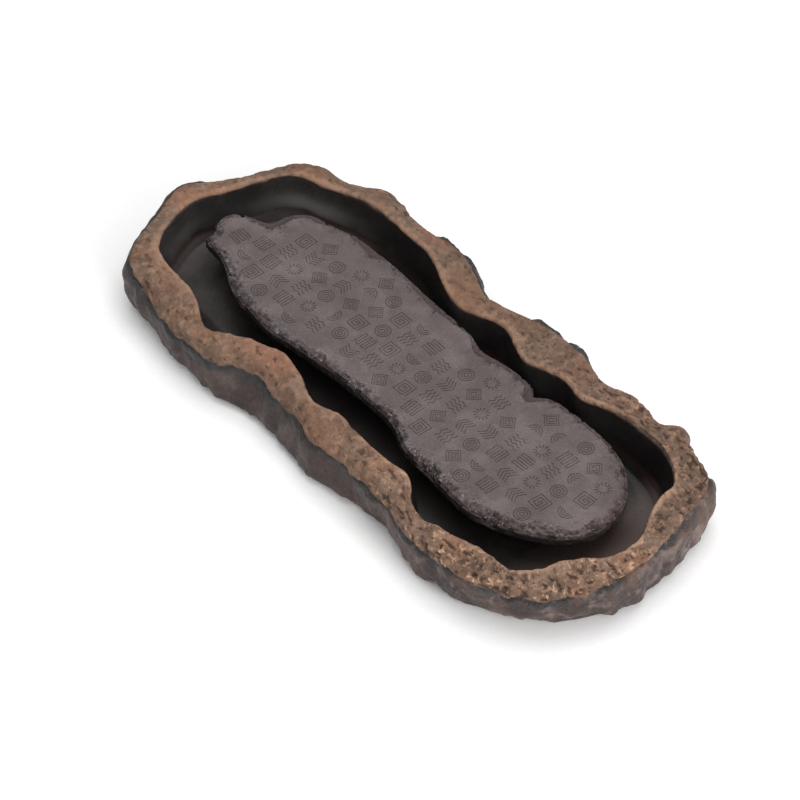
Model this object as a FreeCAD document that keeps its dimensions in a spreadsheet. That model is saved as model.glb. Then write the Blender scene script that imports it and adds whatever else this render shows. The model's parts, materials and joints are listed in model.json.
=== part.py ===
import FreeCAD, Part
import Sketcher
import math
import os

from FreeCAD import Vector

# Tea tray: a hand-built clay basin with an undulating rim, a loose slab that stands in it
# on four short legs, and soft pads under both. Millimetres, +Z up, +X along the tray,
# origin on the table under the middle of the tray.

doc = FreeCAD.newDocument("tea_tray")
sheet = doc.addObject("Spreadsheet::Sheet", "sizes")

# Driving dimensions: name, value, what it is.
dimensions = [
    ("tray_length", 370, "overall length of the basin"),
    ("tray_width", 156, "overall width of the basin"),
    ("tray_height", 35, "table to the highest point of the rim"),
    ("floor_thickness", 5.5, "clay under the well"),
    ("shoulder_height", 25, "table to the widest line, where the bare rim meets the dark body"),
    ("belly_height", 13, "table to the fullest line of the lower body"),
    ("belly_swell", 0.6, "how far the lower body stands out at the belly"),
    ("foot_draw", 5, "how far the foot draws in under the shoulder"),
    ("foot_bevel", 3, "bevel of the body where it meets the base"),
    ("band_fall", 1, "fall of the bare rim band from its crest to its middle"),
    ("band_edge_fall", 3.2, "fall of the bare rim band from its crest to its outer edge"),
    ("rim_dip", 2.8, "deepest dip of the crest below the highest point"),
    ("crest_half_width", 1.6, "half the width of the crest of the rim"),
    ("lip_fall", 1.2, "fall of the crest towards the well"),
    ("well_draft", 2.5, "how far the well closes in from the crest to its foot"),
    ("well_cove", 5, "slope between the wall of the well and its floor"),
    ("end_moat", 20.5, "average gap between slab and rim at the two ends"),
    ("side_moat", 6.5, "average gap between slab and rim at the waist"),
    ("slab_thickness", 8.5, "thickness of the slab"),
    ("ledge_drop", 3.2, "slab top to the broken ledge below it"),
    ("ledge_width", 6, "how far the broken ledge stands out from the slab top"),
    ("slab_undercut", 3, "slope round the underside of the slab"),
    ("leg_height", 11.5, "slab underside to the foot of a leg"),
    ("leg_radius", 9, "radius of a slab leg"),
    ("leg_root", 2, "how deep a leg is joined into the slab"),
    ("leg_end_inset", 51, "end of the slab to the centre of a leg"),
    ("leg_side_inset", 27, "side of the slab to the centre of a leg"),
    ("slab_pad_radius", 5.5, "radius of a slab pad"),
    ("slab_pad_thickness", 2, "thickness of a slab pad"),
    ("slab_pad_recess", 1, "how deep a slab pad sits in its leg"),
    ("base_pad_radius", 8, "radius of a base pad"),
    ("base_pad_thickness", 2.5, "thickness of a base pad"),
    ("base_pad_recess", 1, "how deep a base pad sits in the base"),
    ("base_pad_end_inset", 50, "end of the tray to the centre of a pad"),
    ("base_pad_side_inset", 40, "side of the tray to the centre of a pad"),
    ("seat_clearance", 0.2, "gap round a pad in its seat"),
    ("pad_edge", 0.4, "chamfer round the foot of a pad"),
]
for row, (alias, value, meaning) in enumerate(dimensions, start=1):
    sheet.set("A%d" % row, alias)
    sheet.set("B%d" % row, str(value))
    sheet.setAlias("B%d" % row, alias)
    sheet.set("C%d" % row, meaning)
doc.recompute()


def size(alias):
    return float(sheet.get(alias))


# Outline of the basin, clockwise from the tip at -X, as drawn before it is set to its overall size.
# Each station: crest of the rim x, y; shoulder outside it x, y; share of the rim dip there;
# how far the foot stands out from the shoulder, in shares of the foot draw (minus: drawn in).
rim_stations = [
    (-168, -8, -187, -3.5, 0.2, -1.4),
    (-163, 10, -173.5, 13, 0.5, -1.2),
    (-150, 45, -157.5, 53, 0.15, -1.2),
    (-136, 52.5, -142.5, 65.5, 0.45, -1),
    (-122, 58, -127, 67, 0.55, -1),
    (-105, 63, -109.5, 79, 0.05, -1),
    (-86, 64.5, -92.5, 78.5, 0.3, -1),
    (-66, 64, -71, 75.5, 0.35, -1),
    (-50, 62, -51.5, 80.5, 0.05, -1),
    (-20, 50.5, -21, 73.5, 0.55, -1),
    (-6, 51, -9, 68.5, 0.8, -0.8),
    (14, 57, 10.5, 72, 0.35, -0.8),
    (32, 51, 31, 79.5, 0.1, -1),
    (46, 48.5, 45, 80.5, 0, -1),
    (64, 55.5, 60.5, 78.5, 0.45, -1),
    (80, 53, 79, 74.5, 0.5, -1),
    (98, 59, 98.5, 78, 0.3, -1),
    (118, 61.5, 116.5, 75.5, 0.35, -1),
    (134, 60, 128.5, 79, 0.05, -1),
    (148, 55, 147, 73, 0.3, -1),
    (159, 45, 166, 66.5, 0.35, -0.6),
    (163, 31, 178, 38, 0.2, 0.1),
    (170, 16, 183.5, 18, 0.3, -0.1),
    (176, -4, 185.5, -6, 0.5, -0.4),
    (162.5, -29, 181, -36, 0.15, -1.1),
    (159, -43, 172, -53, 0.2, -1.6),
    (149, -56, 157, -65, 0.5, -1.5),
    (128, -58.5, 134, -75, 0.2, -1.1),
    (86, -66, 90, -77, 0.85, -0.5),
    (68, -55.5, 72, -73, 0.3, -0.7),
    (48, -56, 51, -71, 0.35, -0.3),
    (22, -54, 25, -71, 0.2, 0.5),
    (6, -54.5, 8, -72, 0.5, 0.9),
    (-8, -57, -7, -67, 1, 1.2),
    (-24, -51, -26, -67, 0.35, 0.8),
    (-34, -49, -36, -65.5, 0.15, 1.0),
    (-43, -48, -44, -64, 0.05, 1.4),
    (-60, -53, -58, -70, 0.2, 1.0),
    (-76, -61.5, -71, -76.5, 0.45, 0),
    (-88, -65.5, -91, -77, 0.85, -0.1),
    (-104, -58.5, -113, -76, 0.35, -0.3),
    (-128, -54, -134, -70, 0.2, -0.4),
    (-150, -49, -157, -66.5, 0.45, -0.9),
    (-161, -35, -172, -41.5, 0.3, -1.3),
    (-166.5, -21, -182, -21, 0.35, -1.4),
]

# Outline of the slab's top, clockwise from its nose at -X, on the same drawing.
# Each station: x, y; how far the broken ledge below stands out, in shares of the ledge width.
slab_stations = [
    (-152, -1, 0.25),
    (-148, 6, 0.25),
    (-130, 12, 0.85),
    (-127, 22, 1),
    (-121, 33, 0.75),
    (-108, 37.5, 0.4),
    (-96, 41, 0.5),
    (-77, 39.5, 1),
    (-69, 43, 0.4),
    (-22, 39, 0.75),
    (4, 40.5, 0.25),
    (12, 35.5, 0.75),
    (22, 34.5, 0.9),
    (34, 38, 0.65),
    (53, 36.5, 0.75),
    (60, 31, 1.15),
    (67, 39, 0.65),
    (76, 41.7, 0.5),
    (114, 41.5, 0.4),
    (140, 28, 0.35),
    (149, 15, 0.25),
    (151, 0, 0.25),
    (147, -14, 0.25),
    (104, -39, 0.35),
    (66, -38.5, 0.25),
    (48, -38, 0.25),
    (34, -33, 0.25),
    (18, -29.5, 0.25),
    (-54, -34, 0.25),
    (-68, -36.5, 0.25),
    (-88, -34.5, 0.25),
    (-104, -32, 0.25),
    (-132, -20.5, 0.25),
    (-144, -18.5, 0.25),
    (-146, -12, 0.2),
    (-150.5, -7.5, 0.2),
]

# Shares of the rim dip that the lines below the crest still follow.
shoulder_dip = 0.5
band_dip = 0.8

# Places between two lines of the basin, as shares of the way.
belly_place = 0.6  # from the foot to the shoulder
band_edge_place = 0.18  # from the shoulder to the crest
band_place = 0.55  # from the shoulder to the crest
wall_place = 0.25  # of the draft of the well, taken by the upper half of its wall

# Heights that follow from the driving dimensions.
base_level = size("base_pad_thickness") - size("base_pad_recess")
floor_level = base_level + size("floor_thickness")
leg_foot_level = floor_level + size("slab_pad_thickness") - size("slab_pad_recess")
slab_under_level = leg_foot_level + size("leg_height")
slab_top_level = slab_under_level + size("slab_thickness")


def between(start, end, share):
    return (start[0] + (end[0] - start[0]) * share, start[1] + (end[1] - start[1]) * share)


def moved(point, way, distance):
    return (point[0] + way[0] * distance, point[1] + way[1] * distance)


def unit(start, end):
    run = math.hypot(end[0] - start[0], end[1] - start[1])
    return ((end[0] - start[0]) / run, (end[1] - start[1]) / run)


def outline_parameters(points):
    """Parameters of a closed curve through the points, spaced by the root of each step."""
    values = [0.0]
    for here, there in zip(points, points[1:] + points[:1]):
        values.append(values[-1] + math.sqrt(math.dist(here, there)))
    return values


def closed_curve(points, parameters):
    curve = Part.BSplineCurve()
    curve.interpolate(Points=[Vector(*p) for p in points], PeriodicFlag=True, Parameters=parameters)
    return curve


def lofted(name, rows, parameters):
    """A closed solid of ruled bands, from one closed outline of (x, y, z) points to the next."""
    outlines = []
    for number, row in enumerate(rows, start=1):
        outline = doc.addObject("Part::Feature", "%s_outline_%d" % (name, number))
        outline.Shape = Part.Wire(closed_curve(row, parameters).toShape())
        outlines.append(outline)
    loft = doc.addObject("Part::Loft", name)
    loft.Sections = outlines
    loft.Solid = True
    loft.Ruled = True
    return loft


def span(points, column):
    values = [p[column] for p in points]
    return max(values) - min(values)


def drawn_in(points, distance):
    """The outline made smaller, by the distance at each end and each side."""
    along = 1 - 2 * distance / span(points, 0)
    across = 1 - 2 * distance / span(points, 1)
    return [(x * along, y * across) for x, y in points]


# The drawn shoulder, the widest line of the tray, is set to the tray's length and width.
drawn_shoulder = [(s[2], s[3], 0) for s in rim_stations]
drawn_crest = [(s[0], s[1], 0) for s in rim_stations]
drawn_box = closed_curve(drawn_shoulder, outline_parameters(drawn_crest)).toShape().optimalBoundingBox()
tray_stretch = (size("tray_length") / drawn_box.XLength, size("tray_width") / drawn_box.YLength)


def on_tray(x, y):
    return ((x - drawn_box.Center.x) * tray_stretch[0], (y - drawn_box.Center.y) * tray_stretch[1])


def cylinder(name, radius, height, place):
    drum = doc.addObject("Part::Cylinder", name)
    drum.setExpression("Radius", radius)
    drum.setExpression("Height", height)
    drum.Placement.Base = place
    return drum


def fused(name, pieces):
    union = doc.addObject("Part::MultiFuse", name)
    union.Shapes = pieces
    return union


def cut(name, base, tool):
    left = doc.addObject("Part::Cut", name)
    left.Base = base
    left.Tool = tool
    left.Label = name
    return left


def pad_body(name, prefix, place):
    """A round soft pad: a disc with a chamfered foot."""
    body = doc.addObject("PartDesign::Body", name)
    body.Label = name
    plane = [p for p in body.Origin.OriginFeatures if p.Role == "XY_Plane"][0]
    sketch = body.newObject("Sketcher::SketchObject", name + "_outline")
    sketch.AttachmentSupport = [(plane, "")]
    sketch.MapMode = "FlatFace"
    circle = Part.Circle(Vector(0, 0, 0), Vector(0, 0, 1), size(prefix + "_radius"))
    sketch.addGeometry(circle)
    sketch.addConstraint(Sketcher.Constraint("Coincident", 0, 3, -1, 1))
    sketch.addConstraint(Sketcher.Constraint("Radius", 0, size(prefix + "_radius")))
    sketch.setExpression("Constraints[1]", "sizes.%s_radius" % prefix)
    disc = body.newObject("PartDesign::Pad", name + "_disc")
    disc.Profile = sketch
    disc.setExpression("Length", "sizes.%s_thickness" % prefix)
    doc.recompute()
    foot_edges = []
    for number, edge in enumerate(disc.Shape.Edges, start=1):
        if edge.BoundBox.ZMax < size("pad_edge"):
            foot_edges.append("Edge%d" % number)
    chamfer = body.newObject("PartDesign::Chamfer", name + "_edge")
    chamfer.Base = (disc, foot_edges)
    chamfer.setExpression("Size", "sizes.pad_edge")
    body.Tip = chamfer
    body.Placement.Base = place
    return body


def make_basin(pad_places):
    """The clay basin: bands from the base, up the body, over the rim and down to the floor."""
    crest = [on_tray(s[0], s[1]) for s in rim_stations]
    shoulder = [on_tray(s[2], s[3]) for s in rim_stations]
    dip = [s[4] * size("rim_dip") for s in rim_stations]
    inward = [unit(s, c) for s, c in zip(shoulder, crest)]
    foot = [moved(s, w, -row[5] * size("foot_draw")) for s, w, row in zip(shoulder, inward, rim_stations)]

    def ring(points, height, dip_share=0.0):
        return [(x, y, height - d * dip_share) for (x, y), d in zip(points, dip)]

    def inset(points, distance):
        return [moved(p, w, distance) for p, w in zip(points, inward)]

    top = size("tray_height")
    belly = inset([between(f, s, belly_place) for f, s in zip(foot, shoulder)], -size("belly_swell"))
    band_edge = [between(s, c, band_edge_place) for s, c in zip(shoulder, crest)]
    band = [between(s, c, band_place) for s, c in zip(shoulder, crest)]
    lip = inset(crest, size("crest_half_width"))
    well = drawn_in(lip, size("well_draft"))
    rows = [
        ring(drawn_in(foot, size("foot_bevel")), base_level),
        ring(foot, base_level + size("foot_bevel")),
        ring(belly, size("belly_height")),
        ring(shoulder, size("shoulder_height"), shoulder_dip),
        ring(band_edge, top - size("band_edge_fall"), band_dip),
        ring(band, top - size("band_fall"), band_dip),
        ring(inset(crest, -size("crest_half_width")), top, 1),
        ring(lip, top - size("lip_fall"), 1),
        ring(drawn_in(lip, size("well_draft") * wall_place), (top + floor_level) / 2),
        ring(well, floor_level + size("well_cove")),
        ring(drawn_in(well, size("well_cove")), floor_level),
    ]
    clay = lofted("basin_clay", rows, outline_parameters(crest))
    seats = []
    for number, (x, y) in enumerate(pad_places, start=1):
        seat = cylinder("base_seat_%d" % number, "sizes.base_pad_radius + sizes.seat_clearance",
                        "sizes.base_pad_recess", Vector(x, y, base_level))
        seats.append(seat)
    return cut("tray_basin", clay, fused("base_seats", seats))


def make_slab(leg_places):
    """The slab: a flat top with a broken edge, and four legs under it."""
    along = slab_length / span(slab_stations, 0)
    across = slab_width / span(slab_stations, 1)
    top = [(s[0] * along, s[1] * across) for s in slab_stations]
    ways = [unit(a, b) for a, b in zip(top[-1:] + top[:-1], top[1:] + top[:1])]
    outward = [(-w[1], w[0]) for w in ways]
    ledge = [moved(p, w, s[2] * size("ledge_width")) for p, w, s in zip(top, outward, slab_stations)]

    def ring(points, height):
        return [(x + slab_middle[0], y + slab_middle[1], height) for x, y in points]

    rows = [
        ring(drawn_in(ledge, size("slab_undercut")), slab_under_level),
        ring(ledge, slab_under_level + size("slab_undercut")),
        ring(ledge, slab_top_level - size("ledge_drop")),
        ring(top, slab_top_level),
    ]
    stone = lofted("slab_stone", rows, outline_parameters(top))
    legs = []
    seats = []
    for number, (x, y) in enumerate(leg_places, start=1):
        leg = cylinder("slab_leg_%d" % number, "sizes.leg_radius", "sizes.leg_height + sizes.leg_root",
                       Vector(x, y, leg_foot_level))
        legs.append(leg)
        seat = cylinder("leg_seat_%d" % number, "sizes.slab_pad_radius + sizes.seat_clearance",
                        "sizes.slab_pad_recess", Vector(x, y, leg_foot_level))
        seats.append(seat)
    legged = fused("slab_with_legs", [stone] + legs)
    return cut("tea_slab", legged, fused("leg_seats", seats))


def corner_places(middle, half_x, half_y):
    return [(middle[0] + x, middle[1] + y) for x in (-half_x, half_x) for y in (-half_y, half_y)]


# The slab fills the opening of the rim, less its moat: the whole length, and the waist in width.
# It stands where it was drawn inside the rim.
waist = [on_tray(s[0], s[1])[1] for s in rim_stations if abs(s[0]) < span(rim_stations, 0) / 4]
waist_width = min(y for y in waist if y > 0) - max(y for y in waist if y < 0)
slab_length = span(rim_stations, 0) * tray_stretch[0] - 2 * size("end_moat")
slab_width = waist_width - 2 * size("side_moat")
slab_middle = on_tray(0, 0)

leg_half_x = slab_length / 2 - size("leg_end_inset")
leg_half_y = slab_width / 2 - size("leg_side_inset")
leg_places = corner_places(slab_middle, leg_half_x, leg_half_y)
base_half_x = size("tray_length") / 2 - size("base_pad_end_inset")
base_half_y = size("tray_width") / 2 - size("base_pad_side_inset")
base_pad_places = corner_places((0, 0), base_half_x, base_half_y)

subparts = [make_basin(base_pad_places), make_slab(leg_places)]
for number, (x, y) in enumerate(leg_places, start=1):
    subparts.append(pad_body("slab_pad_%d" % number, "slab_pad", Vector(x, y, floor_level)))
for number, (x, y) in enumerate(base_pad_places, start=1):
    subparts.append(pad_body("base_pad_%d" % number, "base_pad", Vector(x, y, 0)))
doc.recompute()

for item in doc.Objects:
    if "Invalid" in item.State or "Error" in item.State:
        raise RuntimeError("%s did not build: %s" % (item.Label, item.State))
for part in subparts:
    if part.Shape.isNull() or not part.Shape.isValid() or not part.Shape.Solids:
        raise RuntimeError("%s has no sound solid" % part.Label)

os.makedirs("parts", exist_ok=True)
for part in subparts:
    part.Shape.exportStep("parts/%s.step" % part.Label)
    box = part.Shape.BoundBox
    print("%-12s %9.1f mm3  %d solid  z %.2f to %.2f" % (
        part.Label, part.Shape.Volume, len(part.Shape.Solids), box.ZMin, box.ZMax))
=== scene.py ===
import bpy
import json
import math
import numpy as np
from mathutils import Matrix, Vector, noise

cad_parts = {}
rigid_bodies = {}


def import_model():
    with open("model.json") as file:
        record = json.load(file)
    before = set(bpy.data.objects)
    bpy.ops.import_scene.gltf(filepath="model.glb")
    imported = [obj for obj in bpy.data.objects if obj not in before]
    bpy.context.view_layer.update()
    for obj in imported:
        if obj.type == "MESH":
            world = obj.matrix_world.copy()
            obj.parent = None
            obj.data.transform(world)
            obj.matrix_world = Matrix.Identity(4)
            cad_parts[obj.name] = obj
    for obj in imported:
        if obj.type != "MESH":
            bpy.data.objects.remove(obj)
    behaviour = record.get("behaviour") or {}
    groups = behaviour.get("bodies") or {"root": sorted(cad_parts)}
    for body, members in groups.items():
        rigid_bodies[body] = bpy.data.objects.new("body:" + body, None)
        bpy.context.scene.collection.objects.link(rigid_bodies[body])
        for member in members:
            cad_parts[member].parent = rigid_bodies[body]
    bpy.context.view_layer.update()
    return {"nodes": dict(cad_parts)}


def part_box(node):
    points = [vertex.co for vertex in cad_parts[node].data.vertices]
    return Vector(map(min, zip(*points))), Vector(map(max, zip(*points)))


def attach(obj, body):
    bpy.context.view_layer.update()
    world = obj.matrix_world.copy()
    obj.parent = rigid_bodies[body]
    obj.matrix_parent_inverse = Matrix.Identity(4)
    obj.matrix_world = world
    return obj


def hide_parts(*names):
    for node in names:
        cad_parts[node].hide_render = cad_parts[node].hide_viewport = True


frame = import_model()
print("frame loaded:", sorted(frame["nodes"]))

mm = 0.001
fineSteps = 6000
justBefore = 1e-9
drumSides = 48

# Outline of the basin, clockwise from the tip at -X, in millimetres before it is brought to size.
# Crest x, y; shoulder x, y; share of the rim dip; foot standing out, in shares of the foot draw.
rimStations = np.array([
    (-168, -8, -187, -3.5, 0.2, -1.4), (-163, 10, -173.5, 13, 0.5, -1.2), (-150, 45, -157.5, 53, 0.15, -1.2),
    (-136, 52.5, -142.5, 65.5, 0.45, -1), (-122, 58, -127, 67, 0.55, -1), (-105, 63, -109.5, 79, 0.05, -1),
    (-86, 64.5, -92.5, 78.5, 0.3, -1), (-66, 64, -71, 75.5, 0.35, -1), (-50, 62, -51.5, 80.5, 0.05, -1),
    (-20, 50.5, -21, 73.5, 0.55, -1), (-6, 51, -9, 68.5, 0.8, -0.8), (14, 57, 10.5, 72, 0.35, -0.8),
    (32, 51, 31, 79.5, 0.1, -1), (46, 48.5, 45, 80.5, 0, -1), (64, 55.5, 60.5, 78.5, 0.45, -1),
    (80, 53, 79, 74.5, 0.5, -1), (98, 59, 98.5, 78, 0.3, -1), (118, 61.5, 116.5, 75.5, 0.35, -1),
    (134, 60, 128.5, 79, 0.05, -1), (148, 55, 147, 73, 0.3, -1), (159, 45, 166, 66.5, 0.35, -0.6),
    (163, 31, 178, 38, 0.2, 0.1), (170, 16, 183.5, 18, 0.3, -0.1), (176, -4, 185.5, -6, 0.5, -0.4),
    (162.5, -29, 181, -36, 0.15, -1.1), (159, -43, 172, -53, 0.2, -1.6), (149, -56, 157, -65, 0.5, -1.5),
    (128, -58.5, 134, -75, 0.2, -1.1), (86, -66, 90, -77, 0.85, -0.5), (68, -55.5, 72, -73, 0.3, -0.7),
    (48, -56, 51, -71, 0.35, -0.3), (22, -54, 25, -71, 0.2, 0.5), (6, -54.5, 8, -72, 0.5, 0.9),
    (-8, -57, -7, -67, 1, 1.2), (-24, -51, -26, -67, 0.35, 0.8), (-34, -49, -36, -65.5, 0.15, 1),
    (-43, -48, -44, -64, 0.05, 1.4), (-60, -53, -58, -70, 0.2, 1), (-76, -61.5, -71, -76.5, 0.45, 0),
    (-88, -65.5, -91, -77, 0.85, -0.1), (-104, -58.5, -113, -76, 0.35, -0.3),
    (-128, -54, -134, -70, 0.2, -0.4), (-150, -49, -157, -66.5, 0.45, -0.9),
    (-161, -35, -172, -41.5, 0.3, -1.3), (-166.5, -21, -182, -21, 0.35, -1.4),
])

# Outline of the slab's top, clockwise from its nose: x, y; share of the ledge width below it.
slabStations = np.array([
    (-152, -1, 0.25), (-148, 6, 0.25), (-130, 12, 0.85), (-127, 22, 1), (-121, 33, 0.75), (-108, 37.5, 0.4),
    (-96, 41, 0.5), (-77, 39.5, 1), (-69, 43, 0.4), (-22, 39, 0.75), (4, 40.5, 0.25), (12, 35.5, 0.75),
    (22, 34.5, 0.9), (34, 38, 0.65), (53, 36.5, 0.75), (60, 31, 1.15), (67, 39, 0.65), (76, 41.7, 0.5),
    (114, 41.5, 0.4), (140, 28, 0.35), (149, 15, 0.25), (151, 0, 0.25), (147, -14, 0.25), (104, -39, 0.35),
    (66, -38.5, 0.25), (48, -38, 0.25), (34, -33, 0.25), (18, -29.5, 0.25), (-54, -34, 0.25),
    (-68, -36.5, 0.25), (-88, -34.5, 0.25), (-104, -32, 0.25), (-132, -20.5, 0.25), (-144, -18.5, 0.25),
    (-146, -12, 0.2), (-150.5, -7.5, 0.2),
])


def closedKnots(points):
    steps = np.linalg.norm(np.roll(points, -1, axis=0) - points, axis=1) ** 0.5
    return np.concatenate([[0.0], np.cumsum(steps)])


def closedSpline(knots, values, at):
    # smooth closed curve through the values, read at the given parameters
    step = np.diff(knots)
    count = len(step)
    system = np.zeros((count, count))
    for i in range(count):
        system[i, i - 1] += step[i - 1] / 6
        system[i, i] += (step[i - 1] + step[i]) / 3
        system[i, (i + 1) % count] += step[i] / 6
    slope = (np.roll(values, -1, axis=0) - values) / step[:, None]
    bend = np.linalg.solve(system, slope - np.roll(slope, 1, axis=0))
    i = np.clip(np.searchsorted(knots, at, side="right") - 1, 0, count - 1)
    j = (i + 1) % count
    h = step[i][:, None]
    left = (knots[i + 1] - at)[:, None]
    right = (at - knots[i])[:, None]
    curve = (bend[i] * left ** 3 + bend[j] * right ** 3) / (6 * h)
    return curve + (values[i] / h - bend[i] * h / 6) * left + (values[j] / h - bend[j] * h / 6) * right


def evenParameters(knots, points, count):
    # parameters that step evenly along the closed curve
    fine = np.linspace(0, knots[-1], fineSteps)
    line = closedSpline(knots, points, np.minimum(fine, knots[-1] - justBefore))
    run = np.concatenate([[0.0], np.cumsum(np.linalg.norm(np.diff(line, axis=0), axis=1))])
    return np.interp(np.linspace(0, run[-1], count, endpoint=False), run, fine)


def drawnIn(points, distance):
    spread = points.max(axis=0) - points.min(axis=0)
    return points * (1 - 2 * distance / spread)


def unitRows(vectors):
    return vectors / np.maximum(np.linalg.norm(vectors, axis=-1, keepdims=True), 1e-12)


def withHeight(points, height):
    return np.column_stack([points, np.broadcast_to(height, len(points))])


def steppedRows(rows, steps):
    # straight bands between the rows; also gives each new row's place, counted in rows
    out, places = [], []
    for number, count in enumerate(steps):
        for k in range(count):
            share = k / count
            out.append(rows[number] * (1 - share) + rows[number + 1] * share)
            places.append(number + share)
    out.append(rows[-1])
    places.append(len(rows) - 1)
    return np.array(out), np.array(places, dtype=float)


def softened(grid, passes, hold):
    # rounds the corners across the rows; hold is 1 where a row stays as it is
    for _ in range(passes):
        mean = grid.copy()
        mean[1:-1] = (grid[:-2] + 2 * grid[1:-1] + grid[2:]) / 4
        grid = grid * hold[:, None, None] + mean * (1 - hold[:, None, None])
    return grid


def gridNormals(grid):
    along = np.roll(grid, -1, axis=1) - np.roll(grid, 1, axis=1)
    across = np.gradient(grid, axis=0)
    return unitRows(np.cross(across, along))


def lumps(points, size, octaves, shift=0.0, stretch=(1, 1, 1)):
    # fractal noise over the stretched points, lumps about size long
    places = (points.reshape(-1, 3) * stretch / size + shift).tolist()
    values = [noise.fractal(p, 1.0, 2.0, octaves) for p in places]
    return np.array(values).reshape(points.shape[:-1])


def smoothStep(low, high, value):
    t = np.clip((value - low) / (high - low), 0, 1)
    return t * t * (3 - 2 * t)


def fadeOut(low, high, value):
    return 1 - smoothStep(low, high, value)


def gridMesh(name, grid):
    # closed skin of rings, each end closed by one face
    rings, count = grid.shape[:2]
    index = np.arange(rings * count).reshape(rings, count)
    turned = np.roll(index, -1, axis=1)
    quads = np.stack([index[:-1], index[1:], turned[1:], turned[:-1]], axis=-1).reshape(-1, 4)
    faces = quads.tolist() + [index[0].tolist(), index[-1, ::-1].tolist()]
    mesh = bpy.data.meshes.new(name)
    mesh.from_pydata(grid.reshape(-1, 3).tolist(), [], faces)
    mesh.update()
    return mesh


def setShare(mesh, name, values):
    attribute = mesh.attributes.new(name, "FLOAT", "POINT")
    attribute.data.foreach_set("value", np.asarray(values, dtype=np.float32).ravel())


def linked(name, data):
    made = bpy.data.objects.new(name, data)
    bpy.context.scene.collection.objects.link(made)
    return made


def tone(red, green, blue):
    # screen colour, 0 to 255, as a linear colour
    out = []
    for value in (red, green, blue):
        value = value / 255
        out.append(value / 12.92 if value <= 0.04045 else ((value + 0.055) / 1.055) ** 2.4)
    return (*out, 1.0)


# Node building blocks

def feed(tree, socket, value):
    # links another socket, or sets a plain value
    if isinstance(value, bpy.types.NodeSocket):
        tree.links.new(value, socket)
    else:
        socket.default_value = value


def addNode(tree, kind, settings=None, **inputs):
    # inputs go by their label, or by the letter i and their number
    made = tree.nodes.new(kind)
    for key, value in (settings or {}).items():
        setattr(made, key, value)
    for key, value in inputs.items():
        numbered = key[0] == "i" and key[1:].isdigit()
        feed(tree, made.inputs[int(key[1:]) if numbered else key], value)
    return made


def nodeOut(tree, kind, settings=None, **inputs):
    return addNode(tree, kind, settings, **inputs).outputs[0]


def newGroup(kind, name, inputs, outputs):
    tree = bpy.data.node_groups.new(name, kind)
    for way, sockets in (("INPUT", inputs), ("OUTPUT", outputs)):
        for label, content in sockets.items():
            tree.interface.new_socket(name=label, in_out=way, socket_type="NodeSocket" + content)
    return tree, tree.nodes.new("NodeGroupInput").outputs, tree.nodes.new("NodeGroupOutput").inputs


def placed(tree, group, **inputs):
    return addNode(tree, "ShaderNodeGroup", {"node_tree": group}, **inputs).outputs


def blended(tree, factor, first, second, mode="MIX"):
    settings = {"data_type": "RGBA", "blend_type": mode}
    return addNode(tree, "ShaderNodeMix", settings, i0=factor, i6=first, i7=second).outputs[2]


def ranged(tree, value, low, high, start=0.0, end=1.0):
    return nodeOut(tree, "ShaderNodeMapRange", i0=value, i1=low, i2=high, i3=start, i4=end)


def computed(tree, operation, first, second):
    return nodeOut(tree, "ShaderNodeMath", {"operation": operation}, i0=first, i1=second)


def times(tree, first, second):
    return computed(tree, "MULTIPLY", first, second)


def noiseAt(tree, place, scale, detail, roughness=0.5, distortion=0.0):
    return addNode(tree, "ShaderNodeTexNoise", Vector=place, Scale=scale, Detail=detail, Roughness=roughness,
                   Distortion=distortion).outputs


def shareOf(tree, name):
    return addNode(tree, "ShaderNodeAttribute", {"attribute_name": name}).outputs["Fac"]


def coated(tree, shader, colour, roughness, height, strength, distance):
    # gives a surface its colour, roughness and fine relief
    relief = nodeOut(tree, "ShaderNodeBump", Strength=strength, Distance=distance, Height=height)
    for label, value in (("Base Color", colour), ("Roughness", roughness), ("Normal", relief)):
        feed(tree, shader.inputs[label], value)


# Materials

mottleLook = {
    "broad": (5, 0.62), "fine": (3, 0.7), "middleRange": (0.34, 0.56), "lightRange": (0.52, 0.74),
    "speckRange": (0.3, 0.7, 0.78, 1.22), "broadHeight": 0.5,
}


def mottle(dark, middle, light, patch, grain):
    colours = {"Dark": tone(*dark), "Middle": tone(*middle), "Light": tone(*light)}
    return {**colours, "Patch": patch, "Grain": grain}


def clayMottleGroup():
    # broad and fine colour drift of fired clay, and its grain as a height
    look = mottleLook
    inputs = {"Place": "Vector", "Dark": "Color", "Middle": "Color", "Light": "Color", "Patch": "Float",
              "Grain": "Float"}
    tree, given, out = newGroup("ShaderNodeTree", "clayMottle", inputs, {"Color": "Color", "Height": "Float"})
    broad = noiseAt(tree, given["Place"], given["Patch"], *look["broad"])[0]
    fine = noiseAt(tree, given["Place"], given["Grain"], *look["fine"])[0]
    low = blended(tree, ranged(tree, broad, *look["middleRange"]), given["Dark"], given["Middle"])
    drift = blended(tree, ranged(tree, broad, *look["lightRange"]), low, given["Light"])
    speck = ranged(tree, fine, *look["speckRange"])
    grey = nodeOut(tree, "ShaderNodeCombineColor", i0=speck, i1=speck, i2=speck)
    feed(tree, out["Color"], blended(tree, 1.0, drift, grey, "MULTIPLY"))
    feed(tree, out["Height"], computed(tree, "ADD", times(tree, broad, look["broadHeight"]), fine))
    return tree


pitLook = {"detail": 2, "bend": 0.0025, "clusterScale": 0.22, "softness": 0.08}


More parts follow.
